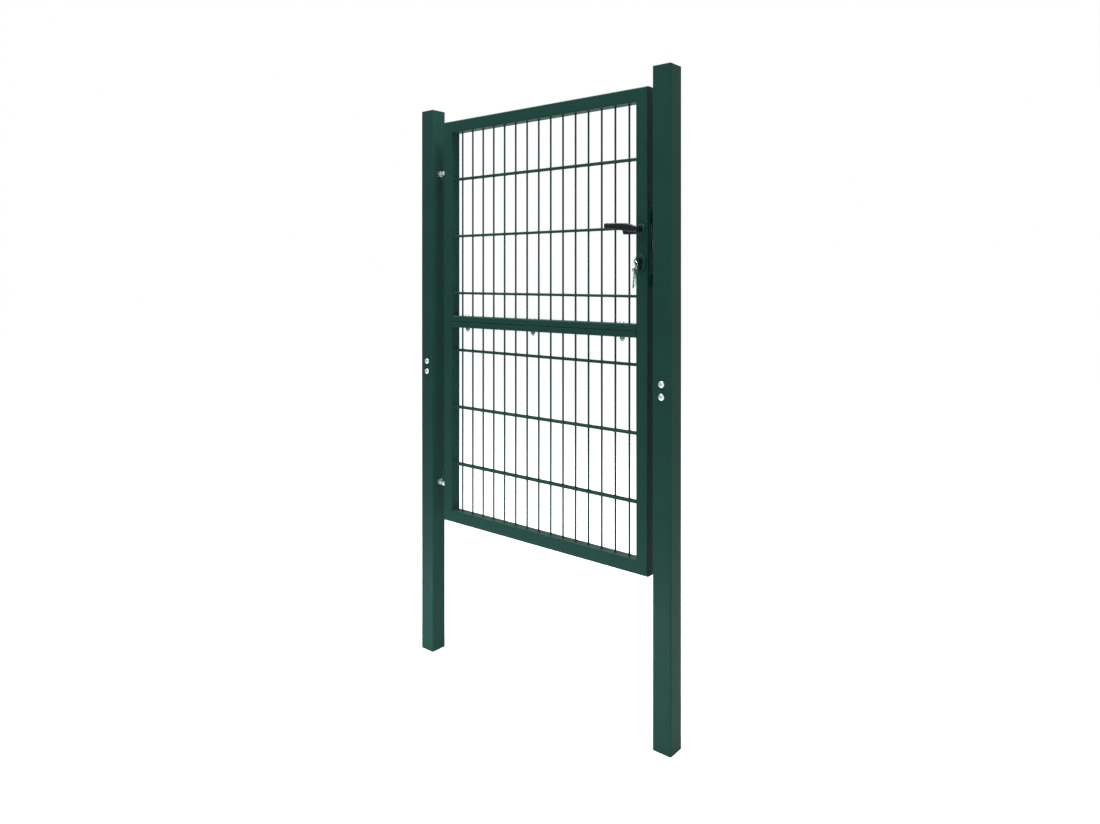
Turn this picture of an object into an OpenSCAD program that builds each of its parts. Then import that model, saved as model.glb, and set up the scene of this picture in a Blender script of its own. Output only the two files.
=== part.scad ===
// Double-wire mesh garden gate: a leaf of two bolted frames, hung between two square posts.
// X runs from the hinge post to the latch post, -Y is the front, +Z is up.
// The origin is on the hinge post's outer face, in the leaf's middle plane, at ground level.

/* [Posts] */
// Width and depth of a square post
post_w = 60; // [50:1:80]
// Wall of the post tube
post_wall = 2; // [1.5:0.5:3]
// Outer corner radius of the post tube
post_corner_r = 4; // [3.5:0.5:6]
// Height of a post above the leaf's top
post_over_leaf = 52; // [30:1:150]
// Length of a post in the ground
post_below = 440; // [300:10:700]
// Height of a post's splice above the ground
splice_h = 580; // [450:10:800]
// Length of the sleeve hidden in the splice
sleeve_len = 200; // [140:10:300]
// Distance between the two bolts of a splice
splice_pitch = 36; // [30:1:60]
// Diameter of a splice bolt
splice_bolt_d = 10; // [8:1:12]
// Thickness of a post cap's top plate
cap_t = 5; // [2:0.5:8]
// Depth of a post cap's plug
cap_plug = 18; // [10:1:30]

/* [Leaf] */
// Width of the leaf
leaf_w = 850; // [600:10:1200]
// Height of the leaf, both frames together
leaf_h = 1408; // [1160:2:1760]
// Gap under the leaf
ground_gap = 40; // [20:5:100]
// Gap between the hinge post and the leaf
hinge_gap = 47; // [44:1:60]
// Gap between the leaf and the latch post
latch_gap = 23; // [20:1:30]
// Width and depth of a frame tube
frame_w = 40; // [36:1:50]
// Wall of a frame tube
frame_wall = 1.5; // [1.2:0.1:2.5]
// Outer corner radius of a frame tube
frame_corner_r = 4; // [3:0.5:5]
// Height of each of the two rails bolted together at mid-height
mid_rail_h = 20; // [18:1:30]
// Diameter of the bolts that join the two frames
rail_bolt_d = 8; // [6:1:10]

/* [Mesh] */
// Distance between upright wires
wire_pitch = 50; // [40:5:60]
// Distance between rows of double wires
row_pitch = 200; // [150:10:250]
// Distance from the joint of the frames to the nearest row
first_row = 100; // [60:10:150]
// Diameter of an upright wire
wire_d = 6; // [5:0.5:6]
// Diameter of each wire of a double row
double_d = 8; // [6:0.5:8]

/* [Hinges] */
// Height of the upper eye's middle, down from the leaf's top
upper_eye_drop = 178; // [120:1:250]
// Height of the lower eye's middle, up from the leaf's bottom
lower_eye_rise = 125; // [90:1:250]
// Diameter of a hinge pin
pin_d = 10; // [8:1:12]
// Diameter of an eye bolt's shank
shank_d = 12; // [10:1:13]
// Outer diameter of an eye
eye_d = 24; // [22:1:26]
// Height of an eye
eye_h = 14; // [12:1:20]
// Gap between an eye and the leaf
eye_gap = 3; // [2:0.5:4]
// Outer diameter of a hinge barrel
barrel_d = 22; // [18:1:24]
// Length of a hinge barrel
barrel_len = 50; // [40:1:70]

/* [Lock] */
// Height of the handle spindle above the joint of the frames
spindle_rise = 294; // [200:1:400]
// Distance from the spindle down to the cylinder
lock_centres = 92; // [72:1:92]
// Length of the lock's face plate
plate_len = 228; // [210:1:260]
// Distance from the spindle up to the face plate's top
plate_above = 81; // [60:1:90]
// Width of the face plate
plate_w = 24; // [20:1:26]
// Thickness of the face plate
plate_t = 3; // [2:0.5:3]
// Width of the roses behind the levers and round the cylinder
rose_d = 32; // [28:1:36]
// Height of a cylinder rose
cylinder_rose_h = 50; // [46:1:56]
// Thickness of a rose
rose_t = 8; // [6:0.5:9]

/* [Levers] */
// Length of a lever from the spindle to its tip
lever_len = 108; // [90:1:130]
// Height of a lever's grip at its tip
tip_h = 14; // [12:1:20]
// Height of the tip's top edge above the spindle
tip_rise = 20; // [12:1:26]
// Thickness of a lever's grip
grip_t = 14; // [10:1:18]
// Gap behind the grip for the fingers
finger_gap = 22; // [20:1:40]
// How far the rear lever hangs down, from wear
rear_droop = 7.5; // [0:0.5:8]

/* [Hidden] */

green = "darkgreen";
zinc = "silver";
black = "dimgray";
nickel = "lightgray";

// clearances
slip = 0.3;     // between pieces that are slid together
fit = 0.05;     // radial, between a pin and its eye
over = 1;       // how far a cut runs past a face

// heights
foot_z = -post_below;
leaf_z0 = ground_gap;
leaf_z1 = ground_gap + leaf_h;
seam_z = (leaf_z0 + leaf_z1) / 2;
cap_z = leaf_z1 + post_over_leaf - cap_t;

// places along the gate
leaf_x0 = post_w + hinge_gap;
leaf_x1 = leaf_x0 + leaf_w;
leaf_mid_x = (leaf_x0 + leaf_x1) / 2;
latch_post_x = leaf_x1 + latch_gap;
axis_to_leaf = eye_d / 2 + eye_gap;
axis_x = leaf_x0 - axis_to_leaf;
lock_x = leaf_x1 - frame_w / 2;

// splice: the sleeve in a post and its domed bolts
sleeve_w = post_w - 2 * post_wall - 2 * slip;
sleeve_wall = 2;
sleeve_r = post_corner_r - post_wall;
splice_head_d = 2 * splice_bolt_d;
splice_head_h = 6;
splice_bolt_len = 15;

// wires of a panel, evenly spread, and rows of double wires
inner_w = leaf_w - 2 * frame_w;
half_h = leaf_h / 2;
min_wire_margin = 20;
min_row_margin = 60;
wires = floor((inner_w - 2 * min_wire_margin) / wire_pitch) + 1;
first_wire = leaf_mid_x - (wires - 1) * wire_pitch / 2;
rows = floor((half_h - frame_w - min_row_margin - first_row) / row_pitch) + 1;
wire_sides = 12;
wire_bite = 0.5;    // how far crossing wires are pressed into each other

// rail bolts: between the first two wires, the last two, and two at the middle
outer_bolt = (wires - 2) * wire_pitch / 2;
middle_bolt = wires % 2 * wire_pitch / 2;
rail_bolt_places = [leaf_mid_x - outer_bolt, leaf_mid_x - middle_bolt, leaf_mid_x + outer_bolt];
rail_head_d = 2.2 * rail_bolt_d;
rail_head_h = 7;
rail_nut_af = 1.6 * rail_bolt_d;
rail_nut_h = 8;
rail_bolt_end = 15;     // how far a rail bolt stands out under the rails

// hinges
upper_eye_z = leaf_z1 - upper_eye_drop;
lower_eye_z = leaf_z0 + lower_eye_rise;
upper_barrel_z = upper_eye_z - eye_h / 2 - slip - barrel_len;
lower_barrel_z = lower_eye_z + eye_h / 2 + slip;
shank_nut_af = 1.6 * shank_d;
shank_nut_h = 10;
shank_in_post = 22;
web_t = barrel_d / 2;
pin_head_af = 1.7 * pin_d;
pin_head_h = 5;

// lock
spindle_z = seam_z + spindle_rise;
cylinder_z = spindle_z - lock_centres;
plate_z1 = spindle_z + plate_above;
plate_z0 = plate_z1 - plate_len;
case_w = 14;
case_wall = 1.5;
case_depth = 28;
case_z0 = plate_z0 + 20;
case_z1 = plate_z1 - 20;
spindle_w = 8;
hub_d = 14;
neck_d = 16;
cylinder_d = 17;
cylinder_web = 10;
cylinder_h = 33;
cylinder_proud = 11;
cylinder_rose_z = cylinder_z - 4;
bolt_w = 9;
bolt_in = 15;           // how far a bolt reaches into the case
latch_out = 10;
dead_bolt_out = 1;
latch_seat = [24, 18];          // middle above the spindle, and height
dead_bolt_seat = [-46, 26];
bolt_seats = [latch_seat, dead_bolt_seat];

// countersunk screws of the face plate and the strike plate
screw_d = 4;
screw_head_d = 8;
screw_head_h = 2;
screw_len = 12;
faceplate_screw_z = [plate_z0 + 10, plate_z1 - 10];

// strike plate, with a stop tab above and one below the roses
strike_t = 3;
slot_margin = 3;
stop_gap = 5;
stop_reach = 10;
stop_tab_h = 40;
strike_z0 = cylinder_rose_z - cylinder_rose_h / 2 - stop_gap - stop_tab_h;
strike_z1 = spindle_z + rose_d / 2 + stop_gap + stop_tab_h;
strike_screw_z = [strike_z0 + stop_tab_h / 2, strike_z1 - stop_tab_h / 2];

// levers
grip_back_y = frame_w / 2 + finger_gap;
head_d = 18;            // of a grip, over the spindle
bend_top = [24, 17];    // edges of a grip at its bend: how far from the spindle, and how high
bend_foot = [28, -5];
tip_cut = 2;
spindle_reach = grip_back_y - 2;

// keys
key_t = 2.2;
blade_w = 8;
bow_d = 24;
bow_hole_d = 7;
key_neck = 6;
spare_len = 65;
spare_fan = 7;           // how far each spare key leans out
ring_d = 16;
ring_wire = 1.8;
hang = (bow_hole_d - ring_wire) / 2 - slip;     // from a hole's middle to the wire that it hangs on
cylinder_face_y = -frame_w / 2 - cylinder_proud;
bow_y = cylinder_face_y - key_neck - bow_d / 2 + over;
hole_y = bow_y - bow_d / 2 + bow_hole_d;
ring_z = cylinder_z - hang - ring_d / 2;
ring_rise = ring_d / 2 - sqrt(pow(ring_d / 2, 2) - pow(key_t + 2 * slip, 2));    // across both spare keys
spare_z = ring_z - ring_d / 2 - hang + ring_rise;

/* ---- shapes that repeat ---- */

// rounded rectangle, centred
module rounded(w, d, r) {
    square([w - 2 * r, d], center = true);
    square([w, d - 2 * r], center = true);
    for (x = [-1, 1], y = [-1, 1])
        translate([x * (w / 2 - r), y * (d / 2 - r)]) circle(r, $fn = 48);
}

// section of a rectangular tube, centred
module tube_section(w, d, wall, r) difference() {
    rounded(w, d, r);
    rounded(w - 2 * wall, d - 2 * wall, r - wall / 2);
}

// upright square tube from z0 to z1, its middle at x
module upright(x, z0, z1, w, wall, r)
    translate([x, 0, z0]) linear_extrude(z1 - z0) tube_section(w, w, wall, r);

// round bar along X
module bar_x(d, x0, x1)
    translate([x0, 0, 0]) rotate([0, 90, 0]) cylinder(x1 - x0, d = d, $fn = 64);

// round bar along Y
module bar_y(d, y0, y1)
    translate([0, y1, 0]) rotate([90, 0, 0]) cylinder(y1 - y0, d = d, $fn = 64);

// hexagonal nut or bolt head on the plane z = 0, by its width across flats
module hexagon(af, h) cylinder(h, d = af / cos(30), $fn = 6);

// shallow dome on the plane z = 0
module dome(d, h) {
    r = (d * d / 4 + h * h) / (2 * h);
    rotate_extrude($fn = 64) intersection() {
        translate([0, h - r]) circle(r, $fn = 128);
        square([d, h]);
    }
}

// prism along Y, wider than the leaf is deep, over an outline in X and Z
module prism_y(points)
    translate([0, frame_w, 0]) rotate([90, 0, 0]) linear_extrude(2 * frame_w) polygon(points);

// countersunk screw along X with its head's face at x; face is 1 for a head that looks along +X
module screw_x(x, z, face, g = 0) translate([x, 0, z]) rotate([0, face * 90, 0]) {
    translate([0, 0, -screw_head_h])
        cylinder(screw_head_h, d1 = screw_d + 2 * g, d2 = screw_head_d + 2 * g, $fn = 48);
    translate([0, 0, -screw_len]) cylinder(screw_len, d = screw_d + 2 * g, $fn = 48);
}

/* ---- posts ---- */

module post_piece(x, z0, z1) upright(x + post_w / 2, z0, z1, post_w, post_wall, post_corner_r);

// places of a post's two splice bolts
module at_splice(x)
    for (s = [-1, 1]) translate([x + post_w / 2, 0, splice_h + s * splice_pitch / 2]) children();

// holes for the splice bolts, through the front wall only
module splice_holes(x)
    at_splice(x) bar_y(splice_bolt_d + 2 * slip, -post_w / 2 - over, -post_w / 4);

// hole for an eye bolt, through the inner wall only
module eye_bolt_hole(z) translate([0, 0, z]) bar_x(shank_d + 2 * slip, post_w / 2, post_w + over);

module hinge_post_lower() color(green) difference() {
    post_piece(0, foot_z, splice_h);
    splice_holes(0);
    eye_bolt_hole(lower_eye_z);
}

module hinge_post_upper() color(green) difference() {
    post_piece(0, splice_h, cap_z);
    splice_holes(0);
    eye_bolt_hole(upper_eye_z);
}

module latch_post_lower() color(green) difference() {
    post_piece(latch_post_x, foot_z, splice_h);
    splice_holes(latch_post_x);
}

module latch_post_upper() color(green) difference() {
    post_piece(latch_post_x, splice_h, cap_z);
    splice_holes(latch_post_x);
    for (z = strike_screw_z) screw_x(latch_post_x - strike_t, z, -1, slip);
}

module post_caps() color(green) for (x = [0, latch_post_x]) translate([x + post_w / 2, 0, cap_z]) {
    linear_extrude(cap_t) rounded(post_w, post_w, post_corner_r);
    translate([0, 0, -cap_plug]) linear_extrude(cap_plug)
        tube_section(sleeve_w, sleeve_w, sleeve_wall, sleeve_r);
}

module splice_sleeves() color(zinc) for (x = [0, latch_post_x]) difference() {
    translate([0, 0, splice_h - sleeve_len / 2])
        upright(x + post_w / 2, 0, sleeve_len, sleeve_w, sleeve_wall, sleeve_r);
    splice_holes(x);
}

module splice_bolts() color(zinc) for (x = [0, latch_post_x]) at_splice(x) {
    translate([0, -post_w / 2, 0]) rotate([90, 0, 0]) dome(splice_head_d, splice_head_h);
    bar_y(splice_bolt_d, -post_w / 2, -post_w / 2 + splice_bolt_len);
}

module strike_plate() color(zinc) {
    stop_y = frame_w / 2 + stop_gap;
    difference() {
        translate([latch_post_x - strike_t, -plate_w / 2, strike_z0])
            cube([strike_t, stop_y + plate_w / 2, strike_z1 - strike_z0]);
        for (b = bolt_seats) {
            slot_h = b[1] + 2 * slot_margin;
            translate([latch_post_x - strike_t - over, -case_w / 2, spindle_z + b[0] - slot_h / 2])
                cube([strike_t + 2 * over, case_w, slot_h]);
        }
        for (z = strike_screw_z) screw_x(latch_post_x - strike_t, z, -1, fit);
    }
    for (z = [strike_z0, strike_z1 - stop_tab_h])
        translate([leaf_x1 - stop_reach, stop_y, z])
            cube([latch_post_x - leaf_x1 + stop_reach, strike_t, stop_tab_h]);
}

module strike_screws() color(zinc)
    for (z = strike_screw_z) screw_x(latch_post_x - strike_t, z, -1);

/* ---- hinges ---- */

// shank from inside the post to the eye, and the eye round the hinge axis
module eye_bolt(z) color(zinc) translate([0, 0, z]) difference() {
    union() {
        bar_x(shank_d, post_w - shank_in_post, axis_x);
        translate([axis_x, 0, -eye_h / 2]) cylinder(eye_h, d = eye_d, $fn = 64);
    }
    translate([axis_x, 0, -eye_h]) cylinder(2 * eye_h, d = pin_d + 2 * fit, $fn = 64);
}

// lock nut outside the post's inner wall and weld nut inside it
module hinge_nuts(z) color(zinc) translate([0, 0, z]) difference() {
    for (x = [post_w, post_w - post_wall - shank_nut_h])
        translate([x, 0, 0]) rotate([0, 90, 0]) hexagon(shank_nut_af, shank_nut_h);
    bar_x(shank_d + 2 * fit, 0, axis_x);
}

// barrel from z0 up, with the web that welds it to the stile
module hinge_barrel(z0) color(green) translate([axis_x, 0, z0]) difference() {
    union() {
        cylinder(barrel_len, d = barrel_d, $fn = 64);
        translate([0, -web_t / 2, 0]) cube([axis_to_leaf, web_t, barrel_len]);
    }
    translate([0, 0, -over]) cylinder(barrel_len + 2 * over, d = pin_d + 2 * fit, $fn = 64);
}

// pin from z0 to z1 with a hexagonal head at each end
module hinge_pin(z0, z1) color(green) translate([axis_x, 0, 0]) {
    translate([0, 0, z0 - pin_head_h]) hexagon(pin_head_af, pin_head_h);
    translate([0, 0, z0]) cylinder(z1 - z0, d = pin_d, $fn = 64);
    translate([0, 0, z1]) hexagon(pin_head_af, pin_head_h);
}

module upper_eye_bolt() eye_bolt(upper_eye_z);
module lower_eye_bolt() eye_bolt(lower_eye_z);
module upper_hinge_nuts() hinge_nuts(upper_eye_z);
module lower_hinge_nuts() hinge_nuts(lower_eye_z);
module upper_hinge_barrel() hinge_barrel(upper_barrel_z);
module lower_hinge_barrel() hinge_barrel(lower_barrel_z);
module upper_hinge_pin() hinge_pin(upper_barrel_z, upper_eye_z + eye_h / 2 + slip);
module lower_hinge_pin() hinge_pin(lower_eye_z - eye_h / 2 - slip, lower_barrel_z + barrel_len);

/* ---- leaf frames ---- */

// outer rail of a frame, mitred at both ends; z_out is its outer edge, z_in its inner edge
module outer_rail(z_out, z_in) color(green) intersection() {
    translate([leaf_x0, 0, (z_out + z_in) / 2]) rotate([0, 90, 0])
        linear_extrude(leaf_w) tube_section(frame_w, frame_w, frame_wall, frame_corner_r);
    prism_y([[leaf_x0, z_out], [leaf_x1, z_out], [leaf_x1 - frame_w, z_in], [leaf_x0 + frame_w, z_in]]);
}

// stile of a frame from the joint to the outer rail, mitred where it meets that rail
module stile(x_out, x_in, z_out, z_in) color(green) intersection() {
    upright((x_out + x_in) / 2, min(seam_z, z_out), max(seam_z, z_out), frame_w, frame_wall, frame_corner_r);
    prism_y([[x_out, seam_z], [x_in, seam_z], [x_in, z_in], [x_out, z_out]]);
}

// rail at the joint of the frames, from z0 up
module mid_rail(z0) color(green) difference() {
    translate([leaf_x0 + frame_w, 0, z0 + mid_rail_h / 2]) rotate([0, 90, 0])
        linear_extrude(inner_w) tube_section(mid_rail_h, frame_w, frame_wall, frame_corner_r);
    for (x = rail_bolt_places)
        translate([x, 0, z0 - over]) cylinder(mid_rail_h + 2 * over, d = rail_bolt_d + 2 * slip, $fn = 64);
}

module top_rail() outer_rail(leaf_z1, leaf_z1 - frame_w);
module bottom_rail() outer_rail(leaf_z0, leaf_z0 + frame_w);
module upper_mid_rail() mid_rail(seam_z);
module lower_mid_rail() mid_rail(seam_z - mid_rail_h);
module upper_hinge_stile() stile(leaf_x0, leaf_x0 + frame_w, leaf_z1, leaf_z1 - frame_w);
module lower_hinge_stile() stile(leaf_x0, leaf_x0 + frame_w, leaf_z0, leaf_z0 + frame_w);
module lower_latch_stile() stile(leaf_x1, leaf_x1 - frame_w, leaf_z0, leaf_z0 + frame_w);

// the latch stile of the upper frame is cut for the lock case, the spindle and the cylinder
module upper_latch_stile() color(green) difference() {
    stile(leaf_x1, leaf_x1 - frame_w, leaf_z1, leaf_z1 - frame_w);
    translate([lock_x, -case_w / 2 - slip, case_z0 - slip])
        cube([frame_w, case_w + 2 * slip, case_z1 - case_z0 + 2 * slip]);
    translate([lock_x, 0, spindle_z]) bar_y(hub_d, -frame_w, frame_w);
    profile_cylinder(frame_w, slip);
    for (z = faceplate_screw_z) screw_x(leaf_x1 + plate_t, z, 1, slip);
}

// domed bolts down through both mid rails, and their nuts
module rail_bolts() color(zinc) for (x = rail_bolt_places) translate([x, 0, seam_z]) {
    translate([0, 0, mid_rail_h]) dome(rail_head_d, rail_head_h);
    translate([0, 0, -mid_rail_h - rail_bolt_end])
        cylinder(2 * mid_rail_h + rail_bolt_end, d = rail_bolt_d, $fn = 64);
}

module rail_nuts() color(zinc)
    for (x = rail_bolt_places) translate([x, 0, seam_z - mid_rail_h - rail_nut_h]) difference() {
        hexagon(rail_nut_af, rail_nut_h);
        translate([0, 0, -over]) cylinder(rail_nut_h + 2 * over, d = rail_bolt_d + 2 * fit, $fn = 64);
    }

/* ---- wire mesh ---- */

// wires above the joint of the frames: uprights, and rows of one wire in front and one behind
module mesh_panel() {
    for (i = [0 : wires - 1])
        translate([first_wire + i * wire_pitch, 0, mid_rail_h])
            cylinder(half_h - frame_w - mid_rail_h, d = wire_d, $fn = wire_sides);
    for (i = [0 : rows - 1], s = [-1, 1])
        translate([leaf_x0 + frame_w, s * ((wire_d + double_d) / 2 - wire_bite), first_row + i * row_pitch])
            rotate([0, 90, 0]) cylinder(inner_w, d = double_d, $fn = wire_sides);
}

module upper_mesh() color(green) translate([0, 0, seam_z]) mesh_panel();
module lower_mesh() color(green) translate([0, 0, seam_z]) mirror([0, 0, 1]) mesh_panel();

/* ---- lock ---- */

// profile cylinder through the stile, from -y to y, grown by g
module profile_cylinder(y, g) translate([lock_x, 0, cylinder_z]) {
    bar_y(cylinder_d + 2 * g, -y, y);
    translate([-cylinder_web / 2 - g, -y, cylinder_d / 2 - cylinder_h - g])
        cube([cylinder_web + 2 * g, 2 * y, cylinder_h - cylinder_d / 2]);
}

// windows for the latch and the dead bolt in the case and the face plate
module bolt_windows()
    for (b = bolt_seats)
        translate([leaf_x1 - 2 * case_wall, -bolt_w / 2 - slip, spindle_z + b[0] - b[1] / 2 - slip])
            cube([2 * case_wall + plate_t + over, bolt_w + 2 * slip, b[1] + 2 * slip]);

module lock_case() color(zinc) difference() {
    translate([leaf_x1 - case_depth, -case_w / 2, case_z0]) cube([case_depth, case_w, case_z1 - case_z0]);
    translate([leaf_x1 - case_depth + case_wall, -case_w / 2 + case_wall, case_z0 + case_wall])
        cube([case_depth - 2 * case_wall, case_w - 2 * case_wall, case_z1 - case_z0 - 2 * case_wall]);
    translate([lock_x, 0, spindle_z]) bar_y(hub_d, -case_w, case_w);
    profile_cylinder(case_w, slip);
    bolt_windows();
}

module lock_faceplate() color(green) difference() {
    translate([leaf_x1, 0, (plate_z0 + plate_z1) / 2]) rotate([0, 90, 0]) linear_extrude(plate_t) {
        square([plate_len - plate_w, plate_w], center = true);
        for (s = [-1, 1]) translate([s * (plate_len - plate_w) / 2, 0]) circle(plate_w / 2, $fn = 64);
    }
    bolt_windows();
    for (z = faceplate_screw_z) screw_x(leaf_x1 + plate_t, z, 1, fit);
}

module faceplate_screws() color(black)
    for (z = faceplate_screw_z) screw_x(leaf_x1 + plate_t, z, 1);

// latch with its nose bevelled towards the stop side
module latch_bolt() color(black) {
    tip_x = leaf_x1 + plate_t + latch_out;
    translate([0, 0, spindle_z + latch_seat[0] - latch_seat[1] / 2]) linear_extrude(latch_seat[1]) polygon([
        [leaf_x1 - bolt_in, -bolt_w / 2], [tip_x, -bolt_w / 2], [tip_x, -bolt_w / 4],
        [leaf_x1 + plate_t, bolt_w / 2], [leaf_x1 - bolt_in, bolt_w / 2]]);
}

module dead_bolt() color(black)
    translate([leaf_x1 - bolt_in, -bolt_w / 2, spindle_z + dead_bolt_seat[0] - dead_bolt_seat[1] / 2])
        cube([bolt_in + plate_t + dead_bolt_out, bolt_w, dead_bolt_seat[1]]);

module lock_cylinder() color(black) profile_cylinder(-cylinder_face_y, 0);

// rose with round ends from height h tall, on the front (side = -1) or the rear (side = 1)
module rose(side, z, h) translate([lock_x, side * (frame_w + rose_t) / 2, z]) {
    for (s = [-1, 1]) translate([0, 0, s * (h - rose_d) / 2]) bar_y(rose_d, -rose_t / 2, rose_t / 2);
    translate([-rose_d / 2, -rose_t / 2, (rose_d - h) / 2]) cube([rose_d, rose_t, h - rose_d]);
}

module handle_rose(side) color(green) difference() {
    translate([lock_x, side * (frame_w + rose_t) / 2, spindle_z]) bar_y(rose_d, -rose_t / 2, rose_t / 2);
    translate([lock_x, 0, spindle_z]) bar_y(neck_d + 2 * slip, -frame_w, frame_w);
}

module cylinder_rose(side) color(green) difference() {
    rose(side, cylinder_rose_z, cylinder_rose_h);
    profile_cylinder(frame_w, slip);
}

module front_handle_rose() handle_rose(-1);
module rear_handle_rose() handle_rose(1);
module front_cylinder_rose() cylinder_rose(-1);
module rear_cylinder_rose() cylinder_rose(1);

/* ---- handle ---- */

module handle_spindle() color(zinc) translate([lock_x, 0, spindle_z])
    cube([spindle_w, 2 * spindle_reach, spindle_w], center = true);

// grip of a lever from the front: round over the spindle, thick at the bend, corners cut at the tip
module grip_outline() {
    tip_foot = tip_rise - tip_h;
    circle(head_d / 2, $fn = 64);
    polygon([
        [tip_cut - lever_len, tip_rise], [-lever_len, tip_rise - tip_cut],
        [-lever_len, tip_foot + tip_cut], [tip_cut - lever_len, tip_foot],
        [-bend_foot[0], bend_foot[1]], [0, -neck_d / 2], [0, neck_d / 2], [-bend_top[0], bend_top[1]]]);
}

// lever in front: a neck out of the rose, and a grip that points to the hinges and hangs by droop
module lever(droop) color(black) translate([lock_x, 0, spindle_z]) difference() {
    rotate([0, -droop, 0]) union() {
        bar_y(neck_d, -grip_back_y, -frame_w / 2 - over);
        translate([0, -grip_back_y, 0]) rotate([90, 0, 0]) linear_extrude(grip_t) grip_outline();
    }
    cube([spindle_w + 2 * fit, 2 * spindle_reach + 2 * fit, spindle_w + 2 * fit], center = true);
}

module front_lever() lever(0);
module rear_lever() mirror([0, 1, 0]) lever(rear_droop);

/* ---- keys ---- */

// bow of a key with its hole at the origin's height, lying in the plane of Y and Z
module bow() translate([-key_t / 2, 0, 0]) rotate([0, 90, 0]) cylinder(key_t, d = bow_d, $fn = 64);

module bow_hole() translate([-key_t, 0, 0]) rotate([0, 90, 0]) cylinder(2 * key_t, d = bow_hole_d, $fn = 64);

module lock_key() color(nickel) translate([lock_x, 0, cylinder_z]) difference() {
    union() {
        translate([-key_t / 2, cylinder_face_y - key_neck, -blade_w / 2]) cube([key_t, key_neck, blade_w]);
        translate([0, bow_y, 0]) bow();
    }
    translate([0, hole_y, 0]) bow_hole();
}

module key_ring() color(nickel) translate([lock_x, hole_y, ring_z]) rotate([90, 0, 0])
    rotate_extrude($fn = 64) translate([ring_d / 2, 0]) circle(ring_wire / 2, $fn = 24);

// two keys side by side on the ring's lowest point, blades down and fanned a little
module spare_keys() color(nickel)
    for (s = [-1, 1]) translate([lock_x + s * (key_t / 2 + slip), hole_y, spare_z])
        rotate([s * spare_fan, 0, 0]) difference() {
            union() {
                translate([0, 0, bow_hole_d - bow_d / 2]) bow();
                translate([-key_t / 2, -blade_w / 2, bow_hole_d - spare_len])
                    cube([key_t, blade_w, spare_len - bow_d / 2]);
            }
            bow_hole();
        }

hinge_post_lower();
hinge_post_upper();
latch_post_lower();
latch_post_upper();
post_caps();
splice_sleeves();
splice_bolts();
strike_plate();
strike_screws();
upper_eye_bolt();
upper_hinge_nuts();
lower_eye_bolt();
lower_hinge_nuts();
upper_hinge_barrel();
upper_hinge_pin();
lower_hinge_barrel();
lower_hinge_pin();
upper_hinge_stile();
upper_latch_stile();
top_rail();
upper_mid_rail();
lower_hinge_stile();
lower_latch_stile();
bottom_rail();
lower_mid_rail();
upper_mesh();
lower_mesh();
rail_bolts();
rail_nuts();
lock_case();
lock_faceplate();
faceplate_screws();
latch_bolt();
dead_bolt();
lock_cylinder();
front_handle_rose();
rear_handle_rose();
front_cylinder_rose();
rear_cylinder_rose();
handle_spindle();
front_lever();
rear_lever();
lock_key();
key_ring();
spare_keys();
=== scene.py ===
import math

import bpy
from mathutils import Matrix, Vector


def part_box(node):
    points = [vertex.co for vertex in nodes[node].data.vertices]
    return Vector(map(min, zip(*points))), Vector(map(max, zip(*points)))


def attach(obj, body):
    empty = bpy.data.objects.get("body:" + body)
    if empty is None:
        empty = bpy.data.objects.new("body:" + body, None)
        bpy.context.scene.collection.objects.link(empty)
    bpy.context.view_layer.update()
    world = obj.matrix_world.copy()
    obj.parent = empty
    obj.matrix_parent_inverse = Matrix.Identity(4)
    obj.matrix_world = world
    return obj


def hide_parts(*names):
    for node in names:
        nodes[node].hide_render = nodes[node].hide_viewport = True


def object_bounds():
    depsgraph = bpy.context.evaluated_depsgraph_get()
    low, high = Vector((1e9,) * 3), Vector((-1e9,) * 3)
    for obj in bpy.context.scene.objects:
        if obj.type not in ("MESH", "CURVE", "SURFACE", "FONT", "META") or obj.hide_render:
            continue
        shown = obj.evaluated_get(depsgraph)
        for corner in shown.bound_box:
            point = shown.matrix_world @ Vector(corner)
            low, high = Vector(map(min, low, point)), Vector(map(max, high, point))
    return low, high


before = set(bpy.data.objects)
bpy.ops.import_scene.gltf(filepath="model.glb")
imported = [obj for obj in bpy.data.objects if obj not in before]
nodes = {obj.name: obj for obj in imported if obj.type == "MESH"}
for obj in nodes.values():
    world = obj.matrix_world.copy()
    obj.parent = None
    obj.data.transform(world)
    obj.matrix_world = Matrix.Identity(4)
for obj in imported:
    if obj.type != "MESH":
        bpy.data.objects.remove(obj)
cad_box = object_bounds()

# ---------------------------------------------------------------------------------------------------
# Posts. Square tube of cold-rolled steel, each post in two lengths that meet over a hidden sleeve,
# zinc primed and then powder coated. The powder is sprayed dry and melts in an oven to one even skin.

mm = 0.001
POST_LENGTHS = ["hinge_post_lower", "hinge_post_upper", "latch_post_lower", "latch_post_upper"]


def linear(code):
    """Linear RGBA of an sRGB hex colour, as shader sockets take it."""
    channels = [int(code[i:i + 2], 16) / 255 for i in (1, 3, 5)]
    return [c / 12.92 if c <= 0.04045 else ((c + 0.055) / 1.055) ** 2.4 for c in channels] + [1]


def new_material(name):
    """An empty node material and its tree."""
    material = bpy.data.materials.new(name)
    material.use_nodes = True
    material.node_tree.nodes.clear()
    return material, material.node_tree


def add_node(tree, kind, inputs, **settings):
    """Adds a node, sets its settings, and links or sets its inputs."""
    node = tree.nodes.new(kind)
    for key, value in settings.items():
        setattr(node, key, value)
    for key, value in inputs.items():
        if isinstance(value, bpy.types.NodeSocket):
            tree.links.new(value, node.inputs[key])
        else:
            node.inputs[key].default_value = value
    return node


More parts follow.
